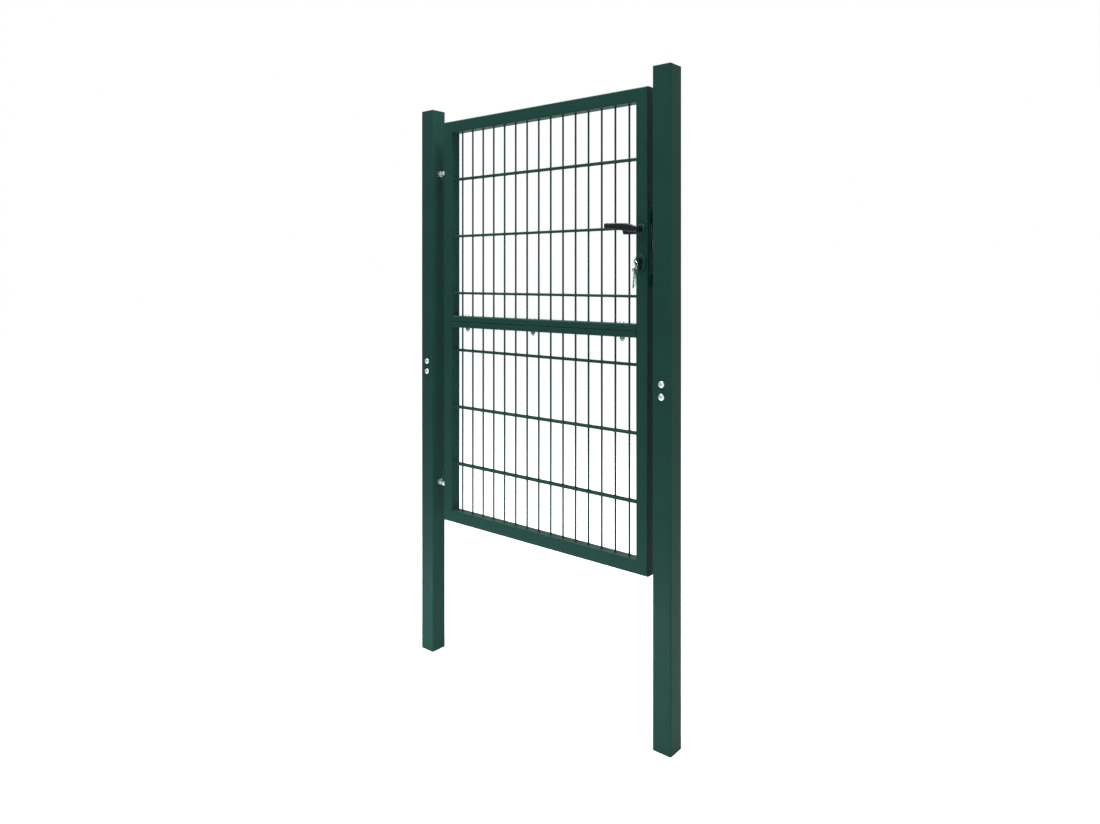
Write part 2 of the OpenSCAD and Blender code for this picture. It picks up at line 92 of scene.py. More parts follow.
def powder_coat():
    """Polyester powder coat on steel: an even satin skin with the faint orange peel of melted powder."""
    material, tree = new_material("moss_green_powder_coat")
    place = add_node(tree, "ShaderNodeTexCoord", {}).outputs["Object"]
    peel = add_node(tree, "ShaderNodeTexNoise", {
        "Vector": place, "Scale": 1 / (1.6 * mm), "Detail": 2.0})
    cloud = add_node(tree, "ShaderNodeTexNoise", {
        "Vector": place, "Scale": 1 / (90 * mm), "Detail": 3.0})
    colour = add_node(tree, "ShaderNodeMix", {
        "Factor": cloud.outputs["Fac"], 6: linear("#17342E"), 7: linear("#1B3B34")}, data_type="RGBA")
    gloss = add_node(tree, "ShaderNodeMapRange", {
        "Value": peel.outputs["Fac"], "From Min": 0.3, "From Max": 0.7, "To Min": 0.34, "To Max": 0.46})
    relief = add_node(tree, "ShaderNodeBump", {
        "Height": peel.outputs["Fac"], "Strength": 0.3, "Distance": 0.06 * mm})
    skin = add_node(tree, "ShaderNodeBsdfPrincipled", {
        "Base Color": colour.outputs[2], "Roughness": gloss.outputs["Result"],
        "Normal": relief.outputs["Normal"], "IOR": 1.5, "Specular IOR Level": 0.03})
    add_node(tree, "ShaderNodeOutputMaterial", {"Surface": skin.outputs["BSDF"]})
    return material


green = powder_coat()


def paint(names, material):
    """Gives CAD nodes that stay as they are their finish."""
    for name in names:
        for slot in nodes[name].material_slots:
            slot.material = material


paint(POST_LENGTHS, green)

# ---------------------------------------------------------------------------------------------------
# Post caps. Moulded polyethylene, in the green of the posts: a lid the size of the tube with soft
# edges and a slightly raised middle, and a hollow plug below it that is pushed into the post.

CAP_EDGE = 1.6 * mm
CAP_CORNER = 4 * mm
CAP_CROWN = 1 * mm
CROWN_SHARE = 0.7
PLUG_GAP = 2.4 * mm
PLUG_WALL = 2 * mm


def moulded_green():
    """Polyethylene out of a spark-eroded mould: a matt, finely grained face, a shade off the coat.
    The grain is drawn several times coarser than the real one, so that it shows."""
    material, tree = new_material("green_polyethylene")
    place = add_node(tree, "ShaderNodeTexCoord", {}).outputs["Object"]
    grain = add_node(tree, "ShaderNodeTexNoise", {
        "Vector": place, "Scale": 1 / (0.7 * mm), "Detail": 3.0})
    cloud = add_node(tree, "ShaderNodeTexNoise", {
        "Vector": place, "Scale": 1 / (25 * mm), "Detail": 2.0})
    colour = add_node(tree, "ShaderNodeMix", {
        "Factor": cloud.outputs["Fac"], 6: linear("#15322E"), 7: linear("#193833")}, data_type="RGBA")
    relief = add_node(tree, "ShaderNodeBump", {
        "Height": grain.outputs["Fac"], "Strength": 0.4, "Distance": 0.05 * mm})
    skin = add_node(tree, "ShaderNodeBsdfPrincipled", {
        "Base Color": colour.outputs[2], "Roughness": 0.55, "Normal": relief.outputs["Normal"],
        "IOR": 1.5, "Specular IOR Level": 0.03})
    add_node(tree, "ShaderNodeOutputMaterial", {"Surface": skin.outputs["BSDF"]})
    return material


def only(*pieces):
    """Selects these objects and nothing else, the first of them active."""
    if bpy.context.object and bpy.context.object.mode == "EDIT":
        bpy.ops.object.mode_set(mode="OBJECT")
    bpy.ops.object.select_all(action="DESELECT")
    for piece in pieces:
        piece.select_set(True)
    bpy.context.view_layer.objects.active = pieces[0]


def pick(piece, kind, test):
    """Goes to edit mode on a piece with only those faces or edges selected that pass the test."""
    only(piece)
    bpy.ops.object.mode_set(mode="EDIT")
    bpy.ops.mesh.select_mode(type=kind)
    bpy.ops.mesh.select_all(action="DESELECT")
    bpy.ops.object.mode_set(mode="OBJECT")
    mesh = piece.data
    for item in (mesh.polygons if kind == "FACE" else mesh.edges):
        corners = [mesh.vertices[i].co for i in item.vertices]
        item.select = test(item, corners)
    bpy.ops.object.mode_set(mode="EDIT")


def settle(piece, place=(0, 0, 0), turn=(0, 0, 0)):
    """Turns a piece about the origin, moves it to its place, and puts both into its mesh."""
    only(piece)
    piece.rotation_euler = [math.radians(a) for a in turn]
    piece.location = place
    bpy.ops.object.transform_apply(location=True, rotation=True, scale=True)
    return piece


def block(size, place=(0, 0, 0)):
    """A box to be shaped, centred on its place."""
    bpy.ops.object.select_all(action="DESELECT")
    bpy.ops.mesh.primitive_cube_add(size=1, location=place, scale=size)
    bpy.ops.object.transform_apply(location=True, rotation=True, scale=True)
    return bpy.context.object


def step_in(share, rise, height):
    """Extrudes the selected level face to a smaller one inside it, raised or not."""
    bpy.ops.mesh.extrude_region_move(TRANSFORM_OT_translate={"value": (0, 0, rise)})
    bpy.ops.transform.resize(value=(share, share, 1), center_override=(0, 0, height))


def twin_of(piece):
    """A copy with its own mesh, shown and free of its body."""
    twin = bpy.data.objects.new(piece.name + "_copy", piece.data.copy())
    bpy.context.scene.collection.objects.link(twin)
    return twin


def joined(pieces):
    """One object out of several."""
    only(*pieces)
    if len(pieces) > 1:
        bpy.ops.object.join()
    return bpy.context.object


def spread(piece, places, turn=(0, 0, 0)):
    """Copies of a piece, each with its own mesh, at several places, joined to one object."""
    copies = [settle(twin_of(piece), place, turn) for place in places]
    bpy.data.objects.remove(piece)
    return joined(copies)


def fit(piece, name, body, material, slot, *replaced):
    """Names a finished piece, smooths its round faces, and gives it its finish and its body."""
    only(piece)
    bpy.ops.object.shade_smooth_by_angle(angle=math.radians(32))
    piece.name = piece.data.name = name
    piece.data.materials.clear()
    piece.data.materials.append(material)
    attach(piece, body)
    if replaced:
        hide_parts(*replaced)
    return piece


hinge_lo, hinge_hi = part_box("hinge_post_upper")
latch_lo, latch_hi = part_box("latch_post_upper")
caps_lo, caps_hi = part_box("post_caps")
post_w = hinge_hi.x - hinge_lo.x
post_middles = [(hinge_lo.x + hinge_hi.x) / 2, (latch_lo.x + latch_hi.x) / 2]
lid_t = caps_hi.z - hinge_hi.z - CAP_CROWN
plug_depth = hinge_hi.z - caps_lo.z

cap = block((post_w, post_w, lid_t), (0, 0, hinge_hi.z + lid_t / 2))
pick(cap, "EDGE", lambda edge, ends: abs(ends[0].z - ends[1].z) > mm)
bpy.ops.mesh.bevel(offset=CAP_CORNER, segments=6, affect="EDGES")
pick(cap, "EDGE", lambda edge, ends: min(e.z for e in ends) > hinge_hi.z + lid_t - 0.1 * mm)
bpy.ops.mesh.bevel(offset=CAP_EDGE, segments=3, affect="EDGES")
pick(cap, "FACE", lambda face, corners: face.normal.z > 0.99 and face.area > (post_w / 2) ** 2)
step_in(CROWN_SHARE, CAP_CROWN, hinge_hi.z)
pick(cap, "FACE", lambda face, corners: face.normal.z < -0.99)
step_in(1 - 2 * PLUG_GAP / post_w, 0, hinge_hi.z)
bpy.ops.mesh.extrude_region_move(TRANSFORM_OT_translate={"value": (0, 0, -plug_depth)})
step_in(1 - 2 * PLUG_WALL / (post_w - 2 * PLUG_GAP), 0, hinge_hi.z)
bpy.ops.mesh.extrude_region_move(TRANSFORM_OT_translate={"value": (0, 0, plug_depth)})
bpy.ops.object.mode_set(mode="OBJECT")
caps = spread(cap, [(x, 0, 0) for x in post_middles])
fit(caps, "moulded_post_caps", "posts", moulded_green(), "green_plastic", "post_caps")

# ---------------------------------------------------------------------------------------------------
# Splice bolts. Cold-headed steel button-head bolts with a hexagon socket, bright zinc plated, two in
# the front of each post, one above and one below the joint. They hold the hidden sleeve.

SPLICE_SHANK_R = 5 * mm
SOCKET = 6 * mm
SOCKET_DEPTH = 3 * mm


def zinc_plate(name, dark, light, roughness):
    """Electroplated zinc with a clear passivate: faintly blue and cloudy, finely scratched.
    The scratches are drawn coarser than the real ones, so that they show."""
    material, tree = new_material(name)
    place = add_node(tree, "ShaderNodeTexCoord", {}).outputs["Object"]
    cloud = add_node(tree, "ShaderNodeTexNoise", {
        "Vector": place, "Scale": 1 / (5 * mm), "Detail": 4.0})
    scratch = add_node(tree, "ShaderNodeTexNoise", {
        "Vector": place, "Scale": 1 / (0.4 * mm), "Detail": 2.0})
    colour = add_node(tree, "ShaderNodeMix", {
        "Factor": cloud.outputs["Fac"], 6: linear(dark), 7: linear(light)}, data_type="RGBA")
    gloss = add_node(tree, "ShaderNodeMapRange", {
        "Value": cloud.outputs["Fac"], "From Min": 0.3, "From Max": 0.7,
        "To Min": roughness - 0.08, "To Max": roughness + 0.08})
    relief = add_node(tree, "ShaderNodeBump", {
        "Height": scratch.outputs["Fac"], "Strength": 0.25, "Distance": 0.02 * mm})
    skin = add_node(tree, "ShaderNodeBsdfPrincipled", {
        "Base Color": colour.outputs[2], "Metallic": 1.0, "Roughness": gloss.outputs["Result"],
        "Normal": relief.outputs["Normal"]})
    add_node(tree, "ShaderNodeOutputMaterial", {"Surface": skin.outputs["BSDF"]})
    return material


zinc = zinc_plate("bright_zinc_plate", "#98A6A2", "#BECBC5", 0.4)


def edit_all(piece):
    """Goes to edit mode on a piece with all of it selected."""
    only(piece)
    bpy.ops.object.mode_set(mode="EDIT")
    bpy.ops.mesh.select_all(action="SELECT")


def face_out():
    """Turns every face of the mesh being edited outwards, and leaves edit mode."""
    bpy.ops.mesh.select_all(action="SELECT")
    bpy.ops.mesh.normals_make_consistent(inside=False)
    bpy.ops.object.mode_set(mode="OBJECT")


def turned(profile, sides=32):
    """A round piece on the Z axis: a disc, extruded and resized ring by ring to (radius, height)."""
    bpy.ops.object.select_all(action="DESELECT")
    radius, height = profile[0]
    bpy.ops.mesh.primitive_circle_add(
        vertices=sides, radius=radius, fill_type="NGON", location=(0, 0, height))
    edit_all(bpy.context.object)
    for next_radius, next_height in profile[1:]:
        bpy.ops.mesh.extrude_region_move(TRANSFORM_OT_translate={"value": (0, 0, next_height - height)})
        factor = next_radius / radius
        bpy.ops.transform.resize(value=(factor, factor, 1), center_override=(0, 0, next_height))
        radius, height = next_radius, next_height
    face_out()
    return settle(bpy.context.object, bpy.context.object.location)


def prism(across, height, sides=6):
    """A prism on the Z axis, up from z = 0, by its width across flats."""
    bpy.ops.object.select_all(action="DESELECT")
    bpy.ops.mesh.primitive_cylinder_add(
        vertices=sides, radius=across / 2 / math.cos(math.pi / sides), depth=height)
    return settle(bpy.context.object, (0, 0, height / 2))


def cut(piece, tool, way="DIFFERENCE"):
    """Cuts a tool out of a piece, or joins it on, and throws the tool away."""
    only(piece)
    modifier = piece.modifiers.new("cut", "BOOLEAN")
    modifier.object = tool
    modifier.operation = way
    modifier.solver = "EXACT"
    bpy.ops.object.modifier_apply(modifier=modifier.name)
    bpy.data.objects.remove(tool)
    return piece


bolts_lo, bolts_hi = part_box("splice_bolts")
head_r = (bolts_hi.x - bolts_lo.x - (post_middles[1] - post_middles[0])) / 2
head_h = hinge_lo.y - bolts_lo.y
shank_end = hinge_lo.y - bolts_hi.y
splice_bolt = turned([
    (SPLICE_SHANK_R - 0.8 * mm, shank_end), (SPLICE_SHANK_R, shank_end + 0.8 * mm), (SPLICE_SHANK_R, 0),
    (head_r - 0.4 * mm, 0), (head_r, 0.4 * mm)]
    + [(head_r * math.cos(a), 0.8 * mm + (head_h - 0.8 * mm) * math.sin(a))
       for a in (math.radians(d) for d in range(0, 75, 12))]
    + [(0.27 * head_r, head_h)], 40)
socket = settle(prism(SOCKET, head_h), (0, 0, head_h - SOCKET_DEPTH))
cut(splice_bolt, socket)
bolt_heights = [bolts_lo.z + head_r, bolts_hi.z - head_r]
splice_bolts = spread(
    splice_bolt, [(x, hinge_lo.y, z) for x in post_middles for z in bolt_heights], (90, 0, 0))
fit(splice_bolts, "button_head_splice_bolts", "posts", zinc, "zinc_plated", "splice_bolts")
paint(["splice_sleeves"], zinc)

# ---------------------------------------------------------------------------------------------------
# Strike plate. Bent 3 mm sheet on the latch post's inner face, punched for the bolts, with two tabs
# that the leaf stops short of, and two countersunk cross-recess screws. Satin zinc plated.


def softened(node, width, segments=2):
    """A copy of a CAD node, merged to plain faces, with every sharp edge broken."""
    piece = twin_of(nodes[node])
    edit_all(piece)
    bpy.ops.mesh.remove_doubles(threshold=0.01 * mm)
    bpy.ops.mesh.dissolve_limited(angle_limit=math.radians(0.5))
    bpy.ops.object.mode_set(mode="OBJECT")
    bevel = piece.modifiers.new("broken edges", "BEVEL")
    bevel.width = width
    bevel.segments = segments
    bevel.limit_method = "ANGLE"
    bevel.angle_limit = math.radians(40)
    bpy.ops.object.modifier_apply(modifier=bevel.name)
    return piece


satin_zinc = zinc_plate("satin_zinc_plate", "#6A7673", "#87928F", 0.45)
fit(softened("strike_plate", 0.5 * mm), "bent_strike_plate", "posts", satin_zinc, "zinc_plated",
    "strike_plate")


def countersunk_screw(head, shank, length):
    """A countersunk screw, its head's face up at z = 0, with a cross recess and a threaded shank."""
    pitch = 0.7 * mm
    cone = (head - shank) / 2
    profile = [(shank * 0.3, -length)]
    turns = int((length - cone - mm) / pitch)
    for i in range(turns):
        profile += [(shank * 0.42, -length + (i + 0.3) * pitch), (shank / 2, -length + (i + 0.8) * pitch)]
    profile += [(shank / 2, -cone - 0.1 * mm), (head / 2, -0.1 * mm), (head / 2 - 0.1 * mm, 0)]
    screw = turned(profile, 24)
    for turn in (0, 90):
        cut(screw, settle(block((head * 0.6, head * 0.12, 1.6 * mm)), turn=(0, 0, turn)))
    return screw


def screws_of(node, side):
    """Both screws of a plate, heads facing along X to the given side, where the CAD node has them."""
    low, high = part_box(node)
    head = high.y - low.y
    face = high.x if side > 0 else low.x
    screw = countersunk_screw(head, head / 2, high.x - low.x)
    return spread(screw, [(face, 0, z) for z in (low.z + head / 2, high.z - head / 2)], (0, side * 90, 0))


fit(screws_of("strike_screws", -1), "strike_plate_screws", "posts", satin_zinc, "zinc_plated",
    "strike_screws")

# ---------------------------------------------------------------------------------------------------
# Hinges. Forged M12 eye bolts go through the hinge post's inner wall, held by a nut on each side of
# it, which set the gap. A pin with a hexagon at each end runs through the eye and through a barrel
# that is welded to the stile.

EYE_SHANK_R = 6 * mm
THREAD_PITCH = 1.75 * mm
THREAD_DEPTH = 0.9 * mm
PIN_R = 5 * mm
PIN_SLACK = 0.1 * mm
PIN_HEAD_H = 5 * mm
BARREL_BEAD = 2 * mm
BEAD_SINK = 0.4 * mm
BEAD_STOP = 2 * mm


def threaded(start, end, radius, pitch, depth):
    """Ring profile of a screw thread from start to end, drawn as closed ridges a pitch apart."""
    turns = int((end - start) / pitch)
    rings = [(radius - depth, start)]
    for i in range(turns):
        foot = start + i * pitch
        rings += [
            (radius, foot + 0.4 * pitch), (radius, foot + 0.6 * pitch), (radius - depth, foot + pitch)]
    return rings


def hexagon(across, height, bore=0.0):
    """A nut or bolt head up from z = 0, its corners turned off at 30 degrees at both faces."""
    nut = prism(across, height)
    corner = across / 2 / math.cos(math.pi / 6)
    rim = across * 0.48
    outside = corner + 0.05 * mm
    chamfer = (corner - rim) * math.tan(math.pi / 6)
    skim = turned([
        (rim, -0.01 * mm), (outside, chamfer), (outside, height - chamfer),
        (rim, height + 0.01 * mm)], 48)
    cut(nut, settle(skim, turn=(0, 0, 2)), "INTERSECT")
    if bore:
        mouth = bore + 1.2 * mm
        cut(nut, turned([
            (mouth, -0.2 * mm), (bore, mm), (bore, height - mm), (mouth, height + 0.2 * mm)]))
    return nut


def weld_bead(start, end, radius):
    """A short run of weld between two points: a half-buried bar with the ripple of its puddles."""
    run = (end - start).length
    ripples = max(4, int(run / (1.1 * radius)))
    profile = [(radius * 0.5, 0)]
    for i in range(ripples):
        profile += [(radius, run * (i + 0.4) / ripples), (radius * 0.86, run * (i + 0.9) / ripples)]
    profile += [(radius * 0.4, run)]
    bead = turned(profile, 12)
    only(bead)
    bead.rotation_euler = (end - start).to_track_quat("Z", "Y").to_euler()
    bead.location = start
    bpy.ops.object.transform_apply(location=True, rotation=True, scale=True)
    return bead


post_face = hinge_hi.x
for level in ("upper", "lower"):
    bolt_lo, bolt_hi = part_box(level + "_eye_bolt")
    pin_lo, pin_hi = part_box(level + "_hinge_pin")
    nuts_lo, nuts_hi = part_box(level + "_hinge_nuts")
    barrel_lo, barrel_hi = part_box(level + "_hinge_barrel")
    axis_x = (pin_lo.x + pin_hi.x) / 2
    eye_z = (bolt_lo.z + bolt_hi.z) / 2
    eye_r = (bolt_hi.y - bolt_lo.y) / 2
    eye_h = bolt_hi.z - bolt_lo.z

    neck = axis_x - eye_r - bolt_lo.x
    shank = turned(
        threaded(0, neck - 5 * mm, EYE_SHANK_R, THREAD_PITCH, THREAD_DEPTH)
        + [(EYE_SHANK_R - 0.4 * mm, neck - 4 * mm), (EYE_SHANK_R - 0.4 * mm, neck - mm),
           (EYE_SHANK_R + mm, neck + 2 * mm), (EYE_SHANK_R + mm, neck + eye_r / 2)])
    settle(shank, (bolt_lo.x, 0, eye_z), (0, 90, 0))
    eye = settle(turned([
        (eye_r - 1.5 * mm, -eye_h / 2), (eye_r - 0.4 * mm, -eye_h / 2 + 0.5 * mm),
        (eye_r, -eye_h / 2 + 1.6 * mm), (eye_r, eye_h / 2 - 1.6 * mm),
        (eye_r - 0.4 * mm, eye_h / 2 - 0.5 * mm), (eye_r - 1.5 * mm, eye_h / 2)], 40), (axis_x, 0, eye_z))
    cut(eye, shank, "UNION")
    bore_r = PIN_R + PIN_SLACK
    cut(eye, settle(turned([(bore_r, -eye_h), (bore_r, eye_h)]), (axis_x, 0, eye_z)))
    fit(eye, level + "_forged_eye_bolt", "posts", zinc, "zinc_plated", level + "_eye_bolt")

    nut_h = nuts_hi.x - post_face
    nut = hexagon(nuts_hi.y * 2, nut_h, EYE_SHANK_R + 0.05 * mm)
    nuts = spread(nut, [(post_face, 0, eye_z), (nuts_lo.x, 0, eye_z)], (0, 90, 0))
    fit(nuts, level + "_eye_bolt_nuts", "posts", zinc, "zinc_plated", level + "_hinge_nuts")

    across = pin_hi.y * 2
    pin = turned([(PIN_R, pin_lo.z + mm), (PIN_R, pin_hi.z - mm)], 32)
    pin = joined([pin, settle(hexagon(across, PIN_HEAD_H), (0, 0, pin_lo.z)),
                  settle(hexagon(across, PIN_HEAD_H), (0, 0, pin_hi.z - PIN_HEAD_H))])
    settle(pin, (axis_x, 0, 0))
    fit(pin, level + "_hexagon_hinge_pin", "leaf", green, "green_powder_coat", level + "_hinge_pin")

    barrel = softened(level + "_hinge_barrel", 0.8 * mm)
    fit(barrel, level + "_welded_barrel", "leaf", green, "green_powder_coat", level + "_hinge_barrel")
    weld_x = barrel_hi.x - BEAD_SINK
    weld_y = (barrel_hi.y - barrel_lo.y) / 4 + BEAD_SINK
    beads = [weld_bead(
        Vector((weld_x, side * weld_y, barrel_lo.z + BEAD_STOP)),
        Vector((weld_x, side * weld_y, barrel_hi.z - BEAD_STOP)), BARREL_BEAD) for side in (-1, 1)]
    fit(joined(beads), level + "_barrel_welds", "leaf", green, "green_powder_coat")

# ---------------------------------------------------------------------------------------------------
# Leaf frames. Two rectangles of square tube, mitred and welded at the outer corners, each closed by a
# flat rail at the joint. The welds are ground flush outside and left as beads in the inner corners.

FRAME_TUBES = ["upper_hinge_stile", "upper_latch_stile", "top_rail", "upper_mid_rail",
               "lower_hinge_stile", "lower_latch_stile", "bottom_rail", "lower_mid_rail"]
CORNER_BEAD = 2 * mm
CORNER_STOP = 5 * mm
paint(FRAME_TUBES, green)
rail_lo, rail_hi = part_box("upper_mid_rail")
top_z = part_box("top_rail")[0].z
under_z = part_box("lower_mid_rail")[0].z
bottom_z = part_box("bottom_rail")[1].z
inside = (rail_lo.x, rail_hi.x)
reach = rail_hi.y - CORNER_STOP
for name, heights in (("upper", (rail_hi.z, top_z)), ("lower", (under_z, bottom_z))):
    beads = [weld_bead(Vector((x, -reach, z)), Vector((x, reach, z)), CORNER_BEAD)
             for x in inside for z in heights]
    fit(joined(beads), name + "_frame_corner_welds", "leaf", green, "green_powder_coat")

# ---------------------------------------------------------------------------------------------------
# Wire mesh. Drawn steel wire: 6 mm uprights between an 8 mm wire in front and one behind at each row,
# resistance welded at every crossing, where the wires sink into each other and the coat fills round.

PITCH = 50 * mm
ROW_PITCH = 200 * mm
FIRST_ROW = 100 * mm
WIRES = 15
ROWS = 3
WIRE_R = 3 * mm
ROW_R = 4 * mm
SINK = 0.5 * mm
FOOT = 2.2 * mm
UPSET = 0.5 * mm
WELD_REACH = 5 * mm


def welded_wire(radius, length, crossings):
    """A wire up from z = 0, swollen where it is welded to others and flared by its welds at the ends."""
    profile = [(radius + FOOT, 0), (radius + 0.55 * FOOT, 0.9 * mm), (radius + 0.2 * FOOT, 2 * mm),
               (radius, 4 * mm)]
    for z in crossings:
        profile += [
            (radius, z - WELD_REACH), (radius + 0.6 * UPSET, z - WELD_REACH / 2), (radius + UPSET, z),
            (radius + 0.6 * UPSET, z + WELD_REACH / 2), (radius, z + WELD_REACH)]
    profile += [(r, length - z) for r, z in reversed(profile[:4])]
    return turned(profile, 12)


seam_z = rail_lo.z
middle_x = (inside[0] + inside[1]) / 2
wire_xs = [middle_x + (i - (WIRES - 1) / 2) * PITCH for i in range(WIRES)]
row_heights = [FIRST_ROW + i * ROW_PITCH for i in range(ROWS)]
mesh_lo, mesh_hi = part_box("upper_mesh")
rail_h = rail_hi.z - seam_z
upright_len = mesh_hi.z - mesh_lo.z
upright = welded_wire(WIRE_R, upright_len, [h - rail_h for h in row_heights])
uprights = spread(upright, [(x, 0, rail_h) for x in wire_xs])
cross_wire = welded_wire(ROW_R, inside[1] - inside[0], [x - inside[0] for x in wire_xs])
cross_wires = spread(
    cross_wire, [(inside[0], side * (WIRE_R + ROW_R - SINK), h) for side in (-1, 1) for h in row_heights],
    (0, 90, 0))
panel = joined([uprights, cross_wires])
lower_panel = twin_of(panel)
settle(panel, (0, 0, seam_z))
settle(lower_panel, (0, 0, seam_z), (180, 0, 0))
fit(panel, "upper_welded_mesh", "leaf", green, "green_powder_coat", "upper_mesh")
fit(lower_panel, "lower_welded_mesh", "leaf", green, "green_powder_coat", "lower_mesh")

# ---------------------------------------------------------------------------------------------------
# Rail bolts. Three M8 bolts with smooth domed heads, down through both mid rails, draw the two frames
# together over plain hexagon nuts, with some thread standing out below. Both are zinc plated; the nuts
# are given a darker zinc than the bolts, which paints the shade that falls on them under the mid rails.

RAIL_BOLT_R = 4 * mm
RAIL_BOLT_PITCH = 1.25 * mm
RAIL_BOLT_GROOVE = 0.6 * mm
rail_bolts_lo, rail_bolts_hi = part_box("rail_bolts")
nuts_lo, nuts_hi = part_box("rail_nuts")
dome_h = rail_bolts_hi.z - rail_hi.z
bolt_xs = [wire_xs[0] + PITCH / 2, middle_x - PITCH / 2, wire_xs[-1] - PITCH / 2]
dome_r = bolt_xs[0] - rail_bolts_lo.x
bolt_end = rail_bolts_lo.z - seam_z
thread_end = nuts_lo.z - seam_z + mm
rail_bolt = turned(
    [(RAIL_BOLT_R - mm, bolt_end)]
    + threaded(bolt_end + 0.8 * mm, thread_end, RAIL_BOLT_R, RAIL_BOLT_PITCH, RAIL_BOLT_GROOVE)
    + [(RAIL_BOLT_R, rail_h), (dome_r - 0.3 * mm, rail_h)]
    + [(dome_r * math.cos(a), rail_h + 0.4 * mm + (dome_h - 0.4 * mm) * math.sin(a))
       for a in (math.radians(d) for d in range(0, 90, 10))], 40)
fit(spread(rail_bolt, [(x, 0, seam_z) for x in bolt_xs]),
    "domed_rail_bolts", "leaf", zinc, "zinc_plated", "rail_bolts")
# Darker zinc for the nuts: painted shade under the mid rails.
shade_darkened_zinc = zinc_plate("zinc_plate_darkened_as_painted_shade", "#46524F", "#66726F", 0.45)
rail_nut = hexagon(nuts_hi.y * 2, nuts_hi.z - nuts_lo.z, RAIL_BOLT_R + 0.05 * mm)
fit(spread(rail_nut, [(x, 0, nuts_lo.z) for x in bolt_xs]),
    "hexagon_rail_nuts", "leaf", shade_darkened_zinc, "zinc_plated", "rail_nuts")

# ---------------------------------------------------------------------------------------------------
# Lock. A mortice case in the latch stile behind a punched face plate with round ends, held by two
# countersunk screws; a sprung latch, a dead bolt and a profile cylinder in black nickel. The screws,
# latch and dead bolt get the same dark plate as painted shade, for the shade in the gap by the post.

KEYWAY_W = 2.6 * mm
KEYWAY_H = 8.6 * mm
KEYWAY_DEPTH = 6 * mm
PLUG_R = 6.6 * mm
PLUG_GROOVE_W = 0.35 * mm
PLUG_GROOVE_DEPTH = 0.6 * mm


def black_nickel():
    """Black nickel over brass or steel: a dark, fairly glossy plate with a fine uneven bloom.
    The bloom is drawn coarser than the real one, so that it shows. On the screws, latch and dead bolt
    the dark plate is painted shade, for the shade in the gap between stile and post."""
    material, tree = new_material("black_nickel_and_painted_gap_shade")
    place = add_node(tree, "ShaderNodeTexCoord", {}).outputs["Object"]
    marks = add_node(tree, "ShaderNodeTexNoise", {
        "Vector": place, "Scale": 1 / (0.6 * mm), "Detail": 3.0})
    colour = add_node(tree, "ShaderNodeMix", {
        "Factor": marks.outputs["Fac"], 6: linear("#0F1717"), 7: linear("#1A2323")}, data_type="RGBA")
    relief = add_node(tree, "ShaderNodeBump", {
        "Height": marks.outputs["Fac"], "Strength": 0.2, "Distance": 0.02 * mm})
    skin = add_node(tree, "ShaderNodeBsdfPrincipled", {
        "Base Color": colour.outputs[2], "Metallic": 1.0, "Roughness": 0.3,
        "Normal": relief.outputs["Normal"]})
    add_node(tree, "ShaderNodeOutputMaterial", {"Surface": skin.outputs["BSDF"]})
    return material


black_nickel_and_gap_shade = black_nickel()
paint(["lock_case", "handle_spindle"], zinc)
fit(softened("lock_faceplate", 0.5 * mm), "punched_face_plate", "leaf", green, "green_powder_coat",
    "lock_faceplate")
# Screws, latch and dead bolt take the dark plate as painted shade in the gap between stile and post.
fit(screws_of("faceplate_screws", 1), "face_plate_screws", "leaf", black_nickel_and_gap_shade, "black_nickel",
    "faceplate_screws")
fit(softened("latch_bolt", 0.5 * mm), "sprung_latch", "leaf", black_nickel_and_gap_shade, "black_nickel", "latch_bolt")
fit(softened("dead_bolt", 0.6 * mm), "square_dead_bolt", "leaf", black_nickel_and_gap_shade, "black_nickel", "dead_bolt")

cylinder_lo, cylinder_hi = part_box("lock_cylinder")
lock_x = (cylinder_lo.x + cylinder_hi.x) / 2
barrel_r = (cylinder_hi.x - cylinder_lo.x) / 2
cylinder_z = cylinder_hi.z - barrel_r
cylinder = softened("lock_cylinder", 0.4 * mm)
groove_r = PLUG_R + PLUG_GROOVE_W
for face_y in (cylinder_lo.y, cylinder_hi.y):
    groove = turned([(groove_r, -PLUG_GROOVE_DEPTH), (groove_r, PLUG_GROOVE_DEPTH)], 40)
    cut(groove, turned([(PLUG_R, -mm), (PLUG_R, mm)], 40))
    cut(cylinder, settle(groove, (lock_x, face_y, cylinder_z), (90, 0, 0)))
    cut(cylinder, block((KEYWAY_W, 2 * KEYWAY_DEPTH, KEYWAY_H), (lock_x, face_y, cylinder_z)))
fit(cylinder, "profile_cylinder", "leaf", black_nickel_and_gap_shade, "black_nickel", "lock_cylinder")

# ---------------------------------------------------------------------------------------------------
# Roses. Pressed aluminium covers on both sides of the stile, coated like the leaf: a round one with a
# collar for the lever's neck, and a long one with round ends, cut out for the profile cylinder.

NECK_R = 8 * mm
ROSE_SIDES = 48
ROSE_EDGE = 2 * mm
